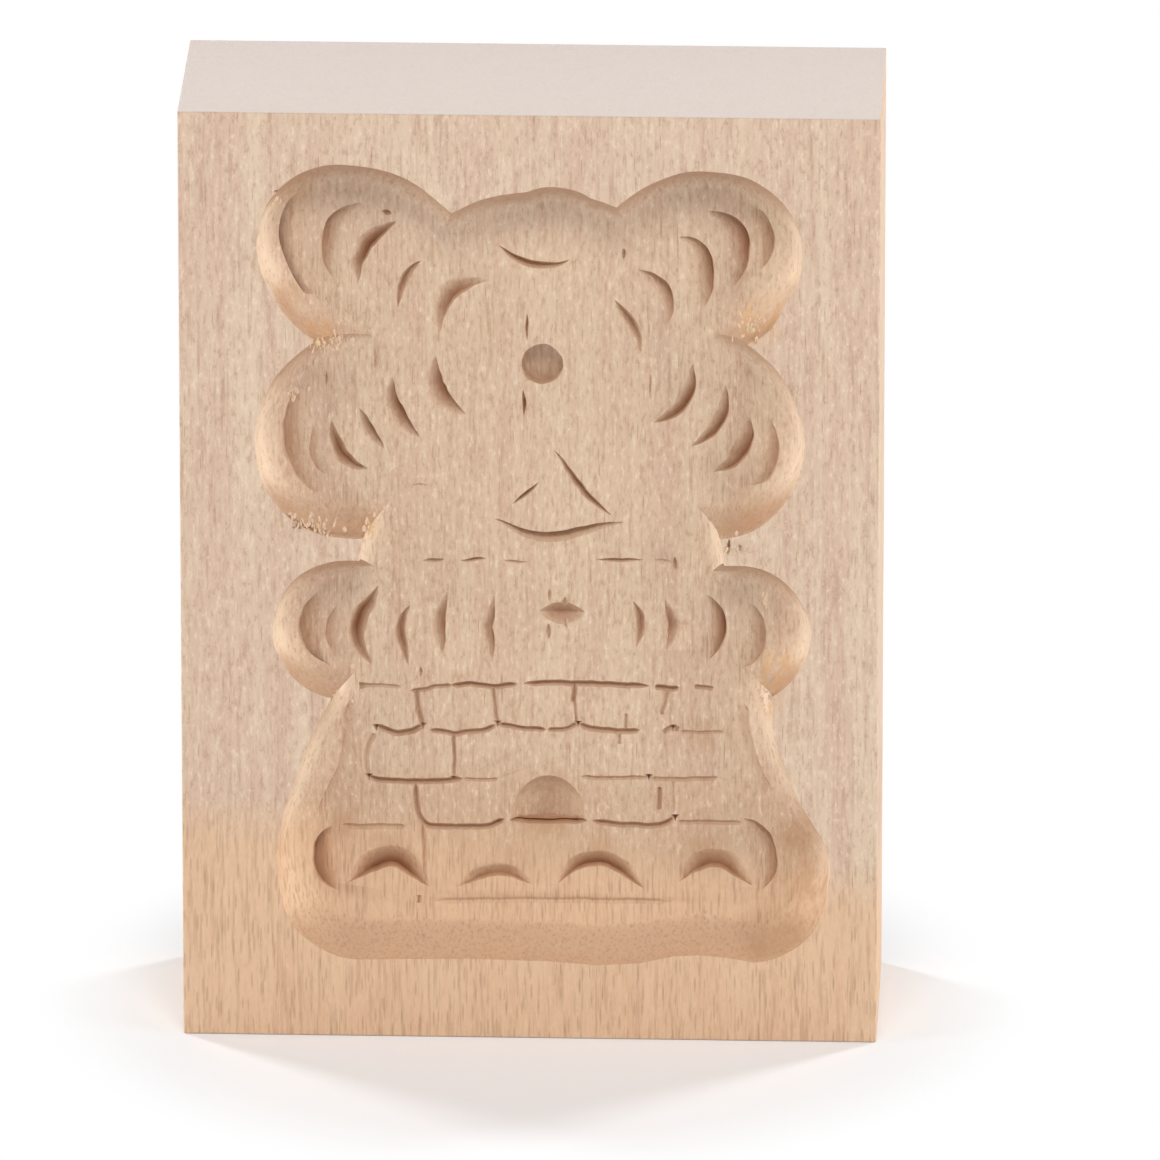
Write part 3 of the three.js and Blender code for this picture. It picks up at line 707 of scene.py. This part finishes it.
def hub_cutter(floor):
    """The hub's bore, a little ragged at its edge."""
    points = oval(*HUB, HUB_BORE, HUB_BORE)[::2]
    cutter = outline_solid("hub bore", points, CUT_RAISE, -HUB_DEPTH * MM)
    for vertex in cutter.data.vertices:
        ragged = HUB_RAGGED * MM * noise.noise(vertex.co / (HUB_RAGGED_LENGTH * MM))
        vertex.co.x += ragged
        vertex.co.y += ragged
    return stand_up(cutter, floor)


def chip_cutter(x, z, radius, seed, face):
    """A rough ball that takes a chip out of the rim."""
    bpy.ops.mesh.primitive_ico_sphere_add(subdivisions=3, radius=1)
    cutter = added("chip")
    radii = [radius * share for share in CHIP_SHAPE]
    for vertex in cutter.data.vertices:
        bump = noise.noise(vertex.co * CHIP_ROUGH_RATE + Vector((x, z, seed)))
        rough = 1 + CHIP_ROUGH * seed * bump
        vertex.co = Vector(c * r * MM * rough for c, r in zip(vertex.co, radii))
    cutter.location = (x * MM, z * MM, 0)
    settle()
    return stand_up(cutter, face + CHIP_RAISE * MM)


def carve(block, cutters, name):
    """Cuts a group of cutters out of the block, and removes them."""
    group = bpy.data.collections.new(name)
    bpy.context.scene.collection.children.link(group)
    for cutter in cutters:
        for home in list(cutter.users_collection):
            home.objects.unlink(cutter)
        group.objects.link(cutter)
    make_active(block)
    bpy.ops.object.modifier_add(type="BOOLEAN")
    cut = block.modifiers[-1]
    cut.operation = "DIFFERENCE"
    cut.operand_type = "COLLECTION"
    cut.collection = group
    cut.solver = "MANIFOLD"
    faces_before = len(block.data.polygons)
    bpy.ops.object.modifier_apply(modifier=cut.name)
    if len(block.data.polygons) <= faces_before:
        raise RuntimeError(f"{name} cut nothing out of the block")
    for cutter in list(group.objects):
        bpy.data.objects.remove(cutter)
    bpy.data.collections.remove(group)


def plank(sizes):
    """The planed and sawn block before carving."""
    bpy.ops.mesh.primitive_cube_add(size=1, location=(0, 0, sizes.height / 2))
    block = added("beech_mould")
    block.scale = (sizes.width, sizes.thickness, sizes.height)
    settle()
    edit_all()
    bpy.ops.mesh.bevel(offset=sizes.arris, segments=3, profile=0.5)
    leave_edit()
    return block


def pocket_cutters(sizes):
    cutters = [
        cove_cutter("dish", oval(*HUB, DISH, DISH), sizes.cove, sizes),
        cove_cutter("cap", oval(*CAP), sizes.cove * CAP_COVE, sizes),
        cove_cutter("neck", NECK, sizes.cove, sizes),
        cove_cutter("gallery", gallery_outline(), sizes.cove, sizes),
        cove_cutter("tower", tower_outline(), sizes.tower_cove, sizes),
        cove_cutter("ground", ground_outline(), sizes.cove, sizes, GROUND_ROUNDNESS),
    ]
    for name, shape in SAIL_OVALS.items():
        cutters.append(cove_cutter(f"{name} sail", oval(*shape), sizes.cove, sizes))
    return cutters


def cut_cutters(floor):
    cutters = []
    for way, width, depth, soft in SLATS + RAILS:
        width *= SLAT_SPREAD
        cutters.append(knife_cut("slat", floor, way, width, depth * SLAT_DEEPENING, soft))
    cutters += [knife_cut("line", floor, *cut) for cut in LINES]
    cutters += [knife_cut("hill", floor, *cut, HILL_FADE) for cut in HILLS]
    cutters += [knife_cut("pass", floor - PASS_RISE * MM, *cut, PASS_FADE) for cut in PASSES]
    for way, width, depth in COURSES + JOINTS:
        width *= BRICK_LINE_SPREAD
        depth *= BRICK_LINE_DEEPENING
        cutters.append(knife_cut("brick line", floor, way, width, depth, fade=BRICK_LINE_FADE))
    cutters += [nick_cutter(*nick, floor) for nick in CORNER_NICKS]
    cutters.append(door_cutter(floor))
    cutters.append(hub_cutter(floor))
    return cutters


def chip_cutters(face):
    cutters = [chip_cutter(*chip, 1 + i / 3, face) for i, chip in enumerate(CHIPS)]
    return cutters + [knife_cut("split", face, *cut) for cut in SPLITS]


def torn_fibres(face):
    """Short pale splinters that lie up and down over the rims where the grain tore."""
    draw = random.Random(TORN_SEED)
    thick, tip, length = [measure * MM for measure in SPLINTER]
    bpy.ops.mesh.primitive_cone_add(vertices=3, radius1=thick, radius2=tip, depth=length)
    fibre = bpy.context.object
    bpy.ops.mesh.primitive_ico_sphere_add(subdivisions=1, radius=CRUMB * MM)
    crumb = bpy.context.object
    splinters = []
    for x, z, spread, rise, count in TORN:
        for _ in range(count):
            first = crumb if draw.random() < CRUMB_SHARE else fibre
            splinter = first.copy()
            splinter.data = first.data.copy()
            bpy.context.scene.collection.objects.link(splinter)
            grow = draw.uniform(*TORN_GROWTH)
            if first is crumb:
                grow *= CRUMB_STRETCH
            splinter.scale = (draw.uniform(*TORN_WIDTH), draw.uniform(*TORN_THICKNESS), grow)
            splinter.rotation_euler = (
                draw.gauss(*TORN_LEAN_OUT),
                draw.gauss(*TORN_LEAN_ASIDE) + math.pi * draw.choice((0, 1)),
                draw.uniform(0, math.pi),
            )
            splinter.location = (
                (x + draw.gauss(*TORN_SCATTER) * spread) * MM,
                face + draw.uniform(*TORN_LIFT) * MM,
                (z + draw.gauss(*TORN_SCATTER) * rise) * MM,
            )
            splinters.append(splinter)
    bpy.data.objects.remove(fibre)
    bpy.data.objects.remove(crumb)
    deselect()
    for splinter in splinters:
        splinter.select_set(True)
    bpy.context.view_layer.objects.active = splinters[0]
    bpy.ops.object.join()
    tufts = bpy.context.object
    settle()
    tufts.name = "torn_fibres"
    return tufts


# How often each pattern of the wood repeats in a metre, across, into and along the grain.
BROAD_GRAIN = (210, 210, 9)
BAND_GRAIN = (620, 620, 24)
LINE_GRAIN = (1700, 1700, 110)
FUZZ_GRAIN = (1900, 1900, 760)
FOOT_GRAIN = (2300, 2300, 150)
PATCHES = (520, 520, 330)
CRUMB_GRAIN = (1500, 1500, 1100)
MOTTLE = (700, 700, 300)
# Rays: about how far they stand apart across and along the grain, and how wide each is.
DASHES = (0.55, 4.2, 0.34)
HAIRS = (0.8, 11.0, 0.12)
LONG_RAYS = (2.2, 30.0, 0.085)
RAY_CORE = 0.55
TAWNY_AND_SHADE_CORE = 0.3  # a tawny patch has its full strength up to this share of its reach
BROWN_CORE = 0.35
INNER_DEPTH = 1.2  # this far below the face the wood has the pocket's colour
WALL_HIGHLIGHT_DEPTHS = (0.95, 0.5)  # shares of the pocket's depth: no painted highlight below one, all of it above the other
# Heights in metres between which a colour comes in.
BAND_ABOVE = (0.037, 0.031)
BAND_BELOW = (0.019, 0.027)
FOOT_LINE = (0.030, 0.021)
FOOT_FALL = 0.1  # how steeply the foot's line falls to the right
NODE_ROW = 12  # how many nodes lie side by side
NODE_PITCH = (200, 320)


def new_material(name):
    """A material, its node tree and its shader."""
    material = bpy.data.materials.new(name)
    material.use_nodes = True
    tree = material.node_tree
    return material, tree, tree.nodes["Principled BSDF"]


def feed(tree, node, inputs):
    """Fills a node's inputs, by name or number, with values or with the sockets to link to them."""
    for key, value in inputs.items():
        socket = node.inputs[key]
        if isinstance(value, bpy.types.NodeSocket):
            tree.links.new(value, socket)
        elif socket.type == "RGBA":
            socket.default_value = (*value, 1.0)
        else:
            socket.default_value = value


def add_node(tree, kind, inputs=None, **settings):
    """A node with its inputs and settings. The nodes lie in rows, in the order they are made in."""
    count = len(tree.nodes)
    node = tree.nodes.new(kind)
    node.location = (count % NODE_ROW * NODE_PITCH[0], -(count // NODE_ROW) * NODE_PITCH[1])
    for name, value in settings.items():
        setattr(node, name, value)
    feed(tree, node, inputs or {})
    return node


def stretched(tree, coordinates, scale):
    """The piece's own coordinates, stretched so that a pattern lies along the grain."""
    inputs = {"Vector": coordinates, "Scale": scale}
    return add_node(tree, "ShaderNodeMapping", inputs).outputs["Vector"]


def grain_noise(tree, coordinates, scale, detail, roughness):
    place = stretched(tree, coordinates, scale)
    inputs = {"Vector": place, "Scale": 1.0, "Detail": detail, "Roughness": roughness}
    return add_node(tree, "ShaderNodeTexNoise", inputs).outputs["Fac"]


def spread_out(tree, value, start, full, most=1, least=0):
    """Stretches a value softly over a range: the least where it starts, the most where it's full."""
    inputs = {"Value": value, "From Min": start, "From Max": full, "To Min": least, "To Max": most}
    ranged = add_node(tree, "ShaderNodeMapRange", inputs, interpolation_type="SMOOTHSTEP")
    return ranged.outputs["Result"]


def tint(tree, base, shade, amount):
    """Lays a colour over another by an amount, which may be a number or a pattern."""
    inputs = {0: amount, 6: base, 7: shade}
    return add_node(tree, "ShaderNodeMix", inputs, data_type="RGBA").outputs[2]


def combine(tree, operation, first, second):
    inputs = {0: first, 1: second}
    return add_node(tree, "ShaderNodeMath", inputs, operation=operation).outputs["Value"]


def times(tree, first, second):
    return combine(tree, "MULTIPLY", first, second)


def rays(tree, coordinates, width, length, reach):
    """The short spindle-shaped rays that speckle beech, as 0 to 1."""
    scale = (1 / (width * MM), 1 / (width * MM), 1 / (length * MM))
    inputs = {"Vector": stretched(tree, coordinates, scale), "Scale": 1.0, "Randomness": 1.0}
    cells = add_node(tree, "ShaderNodeTexVoronoi", inputs, feature="F1", voronoi_dimensions="3D")
    return spread_out(tree, cells.outputs["Distance"], reach, reach * RAY_CORE)


def nearness(tree, place, spot, reach, core):
    """1 within a share of a reach round a spot, and less further off, down to 0 at the reach."""
    away = add_node(tree, "ShaderNodeVectorMath", {0: place, 1: spot}, operation="DISTANCE")
    return spread_out(tree, away.outputs["Value"], reach, reach * core)


class Wood:
    """What the parts of the beech material share: its tree, patterns, places and colour so far."""

    def __init__(self, tree, colours, sizes):
        self.tree = tree
        self.colours = colours
        self.sizes = sizes
        self.face = -sizes.thickness / 2
        self.shade = colours.wood
        self.place = add_node(tree, "ShaderNodeTexCoord").outputs["Object"]
        self.x, self.y, self.z = add_node(tree, "ShaderNodeSeparateXYZ", {0: self.place}).outputs
        normal = add_node(tree, "ShaderNodeNewGeometry").outputs["Normal"]
        self.sideward, _, self.upward = add_node(tree, "ShaderNodeSeparateXYZ", {0: normal}).outputs
        self.upright = combine(tree, "ABSOLUTE", self.upward, 0)
        self.inner = spread_out(tree, self.y, self.face, self.face + INNER_DEPTH * MM)
        self.lines = grain_noise(tree, self.place, LINE_GRAIN, 3, 0.6)
        self.fuzz = grain_noise(tree, self.place, FUZZ_GRAIN, 3, 0.7)
        self.dashes = rays(tree, self.place, *DASHES)

    def lay(self, name, *amounts):
        """Lays one of the colours over what is there, by one amount or the product of two."""
        amount = times(self.tree, *amounts) if len(amounts) == 2 else amounts[0]
        self.shade = tint(self.tree, self.shade, getattr(self.colours, name), amount)


def growth(wood):
    """Streaks and pores that run along the grain, over all of the block."""
    tree = wood.tree
    broad = grain_noise(tree, wood.place, BROAD_GRAIN, 3, 0.55)
    bands = grain_noise(tree, wood.place, BAND_GRAIN, 3, 0.6)
    wood.lay("streak", spread_out(tree, broad, 0.40, 0.62))
    wood.lay("blush", spread_out(tree, bands, 0.46, 0.66, 0.75))
    wood.lay("pore_and_shade", spread_out(tree, wood.lines, 0.52, 0.74, 0.42))
    wood.lay("streak", spread_out(tree, wood.lines, 0.48, 0.30, 0.9))


def browner_pocket(wood):
    """The pocket is browner than the face, most of all above the hills."""
    tree = wood.tree
    wood.lay("pocket_tone", wood.inner, 0.2)
    above = spread_out(tree, wood.z, *BAND_ABOVE, 0.24)
    below = spread_out(tree, wood.z, *BAND_BELOW)
    band = times(tree, above, below)
    wood.lay("brown_and_shade", wood.inner, band)


def inside_sides(wood):
    """1 in the carving, and 0 near the block's two sides."""
    tree = wood.tree
    side = wood.sizes.width / 2
    aside = combine(tree, "ABSOLUTE", wood.x, 0)
    return spread_out(tree, aside, side - 1 * MM, side - 2 * MM)


def painted_wall_highlight(wood, carved):
    """Painted highlight: under the rim, the side walls that the side lamps light are painted paler."""
    tree = wood.tree
    depth = wood.sizes.pocket_depth
    sideways = combine(tree, "ABSOLUTE", wood.sideward, 0)
    sideways = spread_out(tree, sideways, 0.2, 0.55)
    low, full = [wood.face + depth * share for share in WALL_HIGHLIGHT_DEPTHS]
    high = spread_out(tree, wood.y, low, full)
    level = spread_out(tree, wood.upright, 0.65, 0.25)
    wall_highlight = times(tree, times(tree, sideways, high), carved)
    wood.lay("wall_highlight", wall_highlight, level)


def specks(wood):
    """Fibres that stand up catch the light, and dimples between them are dark."""
    tree = wood.tree
    wood.lay("speck", spread_out(tree, wood.fuzz, 0.52, 0.72, 0.72))
    wood.lay("fleck", spread_out(tree, wood.fuzz, 0.48, 0.30, 0.5))


def warm_foot(wood):
    """Warmer and more streaked below a line that falls from left to right. Gives 1 there."""
    tree = wood.tree
    fall = times(tree, wood.x, FOOT_FALL)
    height = combine(tree, "ADD", wood.z, fall)
    foot = spread_out(tree, height, *FOOT_LINE)
    wood.lay("foot", foot, 0.66)
    fine = grain_noise(tree, wood.place, FOOT_GRAIN, 3, 0.6)
    fine = spread_out(tree, fine, 0.47, 0.68, 0.42)
    wood.lay("fleck", fine, foot)
    return foot


def ray_marks(wood, foot):
    """Short rays, which show more at the foot, and a few long ones and hairs."""
    tree = wood.tree
    hairs = rays(tree, wood.place, *HAIRS)
    long_rays = rays(tree, wood.place, *LONG_RAYS)
    strength = combine(tree, "ADD", times(tree, foot, 0.22), 0.16)
    wood.lay("fleck", wood.dashes, strength)
    wood.lay("pore_and_shade", long_rays, 0.5)
    wood.lay("pore_and_shade", hairs, 0.5)


def tawny_and_brown_patches(wood):
    """Ragged tawny patches round the torn places, partly the torn wood's tint and partly painted shade
    with bounced light, pale torn crumbs, and browner blotches, some of them painted shade in hollows.
    """
    tree = wood.tree
    patches = grain_noise(tree, wood.place, PATCHES, 3, 0.7)
    crumbs = grain_noise(tree, wood.place, CRUMB_GRAIN, 2, 0.7)
    ragged = spread_out(tree, patches, 0.42, 0.60, 0.95)
    blotched = spread_out(tree, patches, 0.3, 0.7, 0.62, 0.2)
    crumbly = spread_out(tree, crumbs, 0.56, 0.64, 0.9)
    middle = wood.face + wood.sizes.pocket_depth / 2
    for x, z, reach in TAWNY_AND_SHADE_SPOTS:
        near = nearness(tree, wood.place, (x * MM, middle, z * MM), reach * MM, TAWNY_AND_SHADE_CORE)
        wood.lay("tawny_and_shade", near, ragged)
        wood.lay("torn", near, crumbly)
    blotched = times(tree, blotched, wood.inner)
    for x, z, reach in BROWN_AND_SHADE_SPOTS:
        near = nearness(tree, wood.place, (x * MM, middle, z * MM), reach * MM, BROWN_CORE)
        wood.lay("brown_and_shade", near, blotched)


def cut_across(wood, carved):
    """End grain shows on the sawn ends, painted paler for the sheen of light glancing off the top, and
    walls cut across the fibres are darker. Walls that face down get painted shade.
    """
    tree = wood.tree
    height = wood.sizes.height
    above = spread_out(tree, wood.z, height - 2 * MM, height - 0.1 * MM)
    below = spread_out(tree, wood.z, 2 * MM, 0.1 * MM)
    ends = combine(tree, "MAXIMUM", above, below)
    flat = spread_out(tree, wood.upright, 0.5, 0.8)
    sawn = times(tree, ends, flat)
    across = spread_out(tree, wood.upright, 0.18, 0.72, 0.55)
    across = combine(tree, "SUBTRACT", across, sawn)
    wood.lay("fleck", combine(tree, "MAXIMUM", across, 0))
    # Painted shade: walls that face down, under the rims, are darkened with the pore colour.
    under = spread_out(tree, wood.upward, -0.15, -0.75, 0.35)
    wood.lay("pore_and_shade", under, carved)
    wood.lay("end_grain_and_sheen", sawn, 0.88)


def pressed_and_shaded_cuts(wood):
    """Below the pocket's floor the cuts darken with depth: partly fibres pressed dark by the knife,
    partly painted shade, darkest in the deepest cuts.
    """
    tree = wood.tree
    pressed_and_shaded = add_node(tree, "ShaderNodeAttribute", attribute_name="pressed_and_shaded").outputs["Fac"]
    wood.lay("cut", pressed_and_shaded, 0.62)
    wood.lay("deep", spread_out(tree, pressed_and_shaded, 1.0, 2.4, 0.45))


def raised_grain(wood, shader):
    """The feel of the wood: lines and fuzz stand up, and the rays lie a little lower."""
    tree = wood.tree
    rough = combine(tree, "ADD", wood.lines, times(tree, wood.fuzz, 1.2))
    sunk = times(tree, wood.dashes, 0.4)
    height = combine(tree, "SUBTRACT", rough, sunk)
    inputs = {"Strength": 0.7, "Distance": 0.12 * MM, "Height": height}
    bump = add_node(tree, "ShaderNodeBump", inputs)
    feed(tree, shader, {"Normal": bump.outputs["Normal"]})


def beech_material(colours, sizes):
    """Pale steamed beech: streaks, rays and pores along Z, end grain, and dark knife cuts."""
    material, tree, shader = new_material("steamed beech")
    wood = Wood(tree, colours, sizes)
    carved = inside_sides(wood)
    growth(wood)
    browner_pocket(wood)
    painted_wall_highlight(wood, carved)
    specks(wood)
    foot = warm_foot(wood)
    ray_marks(wood, foot)
    tawny_and_brown_patches(wood)
    cut_across(wood, carved)
    pressed_and_shaded_cuts(wood)
    looks = {"Base Color": wood.shade, "Roughness": 0.62, "Specular IOR Level": 0.35}
    feed(tree, shader, looks)
    raised_grain(wood, shader)
    return material


def torn_material(colours):
    material, tree, shader = new_material("torn fibre")
    place = add_node(tree, "ShaderNodeTexCoord").outputs["Object"]
    mottle = grain_noise(tree, place, MOTTLE, 2, 0.5)
    mottle = spread_out(tree, mottle, 0.4, 0.6)
    shade = tint(tree, colours.torn, colours.wood, mottle)
    feed(tree, shader, {"Base Color": shade, "Roughness": 0.8})
    return material


def mark_pressed_and_shaded(block, floor):
    """Notes how deep each point of the carving lies below the pocket's floor, for the cuts'
    pressed-fibre colour and painted shade.
    """
    pressed_and_shaded = block.data.attributes.new("pressed_and_shaded", "FLOAT", "POINT")
    for i, vertex in enumerate(block.data.vertices):
        x, _, z = vertex.co / MM
        inside = abs(x) < CARVED_REACH[0] and CARVED_REACH[1] < z < CARVED_REACH[2]
        depth = (vertex.co.y - floor) / FULL_PRESS_AND_SHADE if inside else 0.0
        if math.hypot(x - HUB[0], z - HUB[1]) < HUB_BORE:
            depth *= HUB_PRESS_AND_SHADE
        if abs(x - DOOR[0]) < DOOR_SIZE[0] / 2 and DOOR_SILL < z - DOOR[1] < DOOR_SIZE[1]:
            depth *= DOOR_PRESS_AND_SHADE
        if math.hypot(x - STUD[0], z - STUD[1]) < STUD_REACH:
            depth *= STUD_PRESS_AND_SHADE
        pressed_and_shaded.data[i].value = max(0.0, depth)


def give(piece, material):
    """Gives a piece its only material. Carving leaves an empty one on it, which goes first."""
    piece.data.materials.clear()
    piece.data.materials.append(material)


class AddMouldBlock(bpy.types.Operator):
    """Models the beech block with its carved windmill"""

    bl_idname = "mould.add_block"
    bl_label = "Mould block"

    def execute(self, context):
        sizes = context.scene.mould_sizes
        colours = context.scene.mould_colours
        face = -sizes.thickness / 2
        floor = face + sizes.pocket_depth
        block = plank(sizes)
        carve(block, pocket_cutters(sizes), "pocket")
        carve(block, cut_cutters(floor), "windmill")
        mark_pressed_and_shaded(block, floor)
        carve(block, chip_cutters(face), "chips")
        give(block, beech_material(colours, sizes))
        tufts = torn_fibres(face)
        give(tufts, torn_material(colours))
        make_active(block)
        tufts.select_set(True)
        bpy.ops.object.join()
        bpy.ops.object.shade_smooth_by_angle(angle=SMOOTH_ANGLE)
        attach(block, "root")
        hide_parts("mould_block")
        return {"FINISHED"}


FLOOR_SIZE = 8
FLOOR_COLOUR = (0.895, 0.90, 0.915)
# The floor's shadow shows up to the first distance from the middle of the block's foot, and fades
# out to plain white at the second. Up to there this share of plain white is laid over it.
SHADOW_REACH = (0.047, 0.066)
FLOOR_GLOW = 0.06

NEUTRAL = (1.0, 1.0, 1.0)
COOL = (0.93, 0.97, 1.0)  # daylight from behind
# Lamps: name, place, width, height, power in watts and colour. All of them look at one point.
LAMPS = [
    ("over", (0.05, -0.8, 1.35), 0.6, 0.4, 9.2, NEUTRAL),
    ("left", (-1.5, -0.42, 0.44), 0.6, 0.8, 9.6, NEUTRAL),
    ("right", (1.5, -0.42, 0.44), 0.6, 0.8, 9.5, NEUTRAL),
    ("back left", (-0.98, 0.73, 0.94), 0.25, 0.3, 8.8, COOL),
    ("back right", (0.98, 0.73, 0.94), 0.25, 0.3, 8.8, COOL),
]
LAMP_AIM = Vector((0, 0, 0.06))
WORLD_LIGHT = 0.24

CAMERA_AIM = Vector((5.98, 0, 57.88))  # the point in the middle of the picture, in millimetres
CAMERA_SENSOR = 36
CAMERA_NEAR = 0.1
CAMERA_FAR = 20


def softbox(name, place, width, height, power, light):
    """A large soft lamp that looks at the block."""
    bpy.ops.object.light_add(type="AREA", location=place)
    lamp = added(name)
    lamp.data.shape = "RECTANGLE"
    lamp.data.size = width
    lamp.data.size_y = height
    lamp.data.energy = power
    lamp.data.color = light
    lamp.rotation_euler = (LAMP_AIM - Vector(place)).to_track_quat("-Z", "Y").to_euler()
    return lamp


def floor_material():
    """White card that takes the shadow, and is plain white further off."""
    material, tree, shader = new_material("white card")
    feed(tree, shader, {"Base Color": FLOOR_COLOUR, "Roughness": 0.55})
    glow = add_node(tree, "ShaderNodeEmission", {"Color": NEUTRAL, "Strength": 1.0})
    place = add_node(tree, "ShaderNodeTexCoord").outputs["Object"]
    away = add_node(tree, "ShaderNodeVectorMath", {0: place}, operation="LENGTH")
    far = spread_out(tree, away.outputs["Value"], *SHADOW_REACH, 1, FLOOR_GLOW)
    path = add_node(tree, "ShaderNodeLightPath").outputs
    seen = combine(tree, "MAXIMUM", path["Is Camera Ray"], path["Is Glossy Ray"])
    seen = combine(tree, "MAXIMUM", seen, path["Is Transmission Ray"])
    inputs = {0: times(tree, far, seen), 1: shader.outputs[0], 2: glow.outputs[0]}
    mix = add_node(tree, "ShaderNodeMixShader", inputs)
    feed(tree, tree.nodes["Material Output"], {"Surface": mix.outputs[0]})
    return material


class AddStage(bpy.types.Operator):
    """Makes the white floor, the lamps and the camera"""

    bl_idname = "mould.add_stage"
    bl_label = "Stage"

    def execute(self, context):
        scene = context.scene
        stage = scene.mould_stage
        bpy.ops.mesh.primitive_plane_add(size=FLOOR_SIZE, location=(0, 0, 0))
        floor = added("white_floor")
        give(floor, floor_material())
        lamps = [softbox(*lamp) for lamp in LAMPS]

        world = bpy.data.worlds.new("studio")
        scene.world = world
        world.use_nodes = True
        back = world.node_tree.nodes["Background"]
        feed(world.node_tree, back, {"Color": NEUTRAL, "Strength": WORLD_LIGHT})

        side = math.cos(stage.elevation)
        away = Vector(
            (
                math.sin(stage.azimuth) * side,
                -math.cos(stage.azimuth) * side,
                math.sin(stage.elevation),
            )
        )
        bpy.ops.object.camera_add(location=CAMERA_AIM * MM + away * stage.camera_distance)
        camera = context.object
        camera.rotation_euler = (-away).to_track_quat("-Z", "Y").to_euler()
        camera.data.lens = stage.lens
        camera.data.sensor_width = CAMERA_SENSOR
        camera.data.clip_start = CAMERA_NEAR
        camera.data.clip_end = CAMERA_FAR
        scene.camera = camera
        scene.view_settings.view_transform = "Standard"
        return {"FINISHED"}


class MouldPanel(bpy.types.Panel):
    """Shows the mould's sizes, colours and stage settings, and the buttons that make the block and the
    stage
    """

    bl_label = "Speculaas mould"
    bl_idname = "VIEW3D_PT_speculaas_mould"
    bl_space_type = "VIEW_3D"
    bl_region_type = "UI"
    bl_category = "Mould"

    def draw(self, context):
        layout = self.layout
        scene = context.scene
        for group in (scene.mould_sizes, scene.mould_colours, scene.mould_stage):
            box = layout.box()
            for name in group.__annotations__:
                box.prop(group, name)
        layout.operator(AddMouldBlock.bl_idname)
        layout.operator(AddStage.bl_idname)


CLASSES = (MouldSizes, MouldColours, StageSettings, AddMouldBlock, AddStage, MouldPanel)


def register():
    for cls in CLASSES:
        bpy.utils.register_class(cls)
    bpy.types.Scene.mould_sizes = bpy.props.PointerProperty(type=MouldSizes)
    bpy.types.Scene.mould_colours = bpy.props.PointerProperty(type=MouldColours)
    bpy.types.Scene.mould_stage = bpy.props.PointerProperty(type=StageSettings)


def unregister():
    del bpy.types.Scene.mould_stage
    del bpy.types.Scene.mould_colours
    del bpy.types.Scene.mould_sizes
    for cls in reversed(CLASSES):
        bpy.utils.unregister_class(cls)


def main():
    register()
    bpy.ops.mould.add_block()
    bpy.ops.mould.add_stage()


if __name__ == "__main__":
    main()
